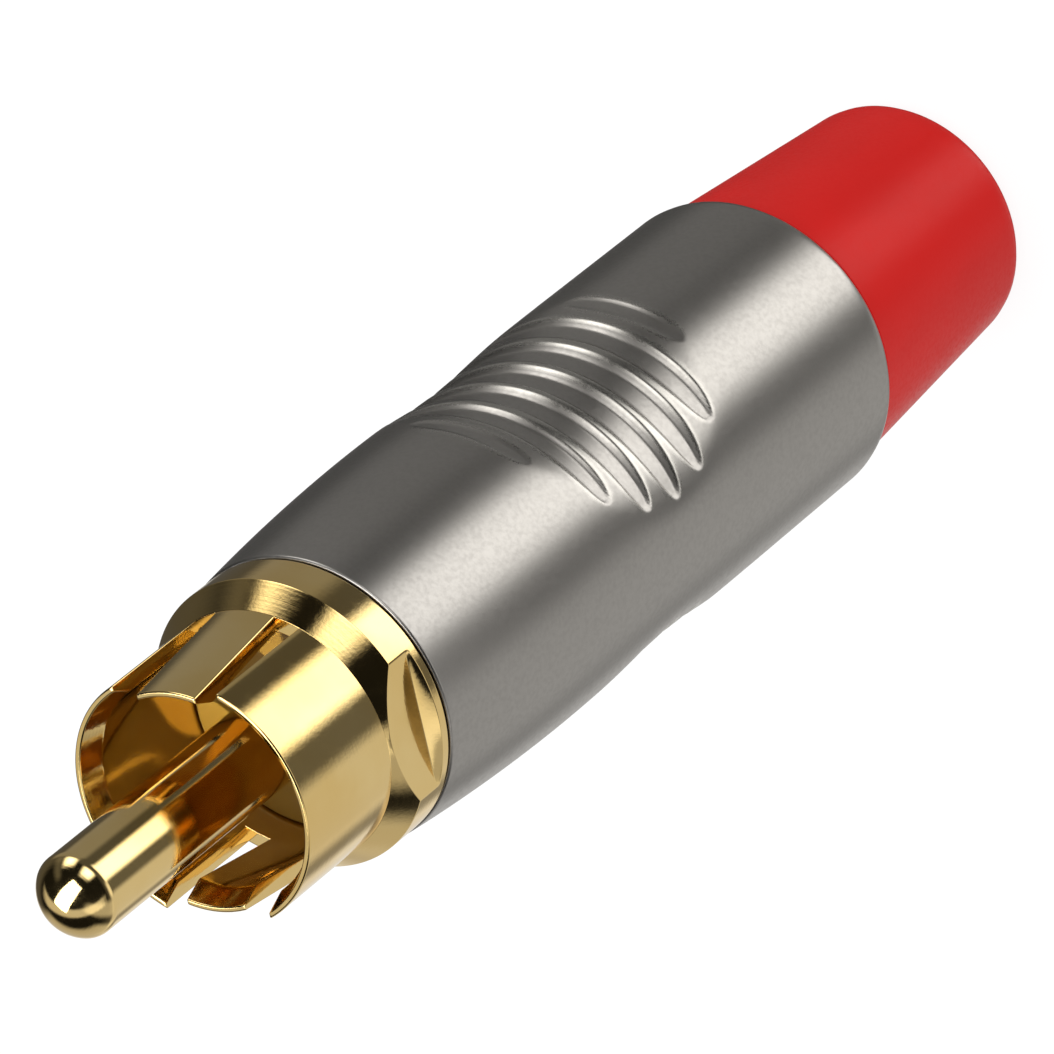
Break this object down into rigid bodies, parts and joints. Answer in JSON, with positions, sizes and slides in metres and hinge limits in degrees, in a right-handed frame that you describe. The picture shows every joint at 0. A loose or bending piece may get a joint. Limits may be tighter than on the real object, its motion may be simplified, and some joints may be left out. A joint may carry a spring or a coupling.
{
  "type": "rca plug",
  "caption": "RCA phono plug for a cable: slotted gold contact sleeve and centre pin, screw-on metal shell with ribbed finger grips, clamping chuck and red boot.",
  "frame": {"origin": "centre of the boot's end face, on the surface that the plug stands on", "axes": "+Z along the plug's axis from the cable entry up to the pin's tip; the finger grips face +Y and -Y"},
  "size_m": [0.0122, 0.0122, 0.0576],
  "materials": {
    "satin_metal": "satin nickel plating on die-cast metal",
    "red_plastic": "matt moulded plastic",
    "pale_plastic": "matt moulded plastic",
    "gold_plate": "polished gold plating",
    "amber_plastic": "smooth moulded plastic",
    "tinned_brass": "tinned sheet"
  },
  "bodies": {
    "housing": {"shell": "satin_metal", "boot": "red_plastic"},
    "chuck": {"chuck": "pale_plastic"},
    "contact": {"contact_sleeve": "gold_plate", "insulator": "amber_plastic", "centre_pin": "gold_plate", "ground_lug": "tinned_brass"}
  },
  "joints": [
    {"name": "contact_turn", "type": "hinge", "parent": "housing", "child": "chuck", "pos_m": [0, 0, 0.0358], "axis": [0, 0, 1], "range_deg": [0, 2160]},
    {"name": "contact_travel", "type": "slide", "parent": "chuck", "child": "contact", "axis": [0, 0, 1], "range_m": [0, 0.0045]}
  ],
  "couplings": [
    {"joint": "contact_travel", "follows": "contact_turn", "m_per_rad": 0.00011936}
  ]
}
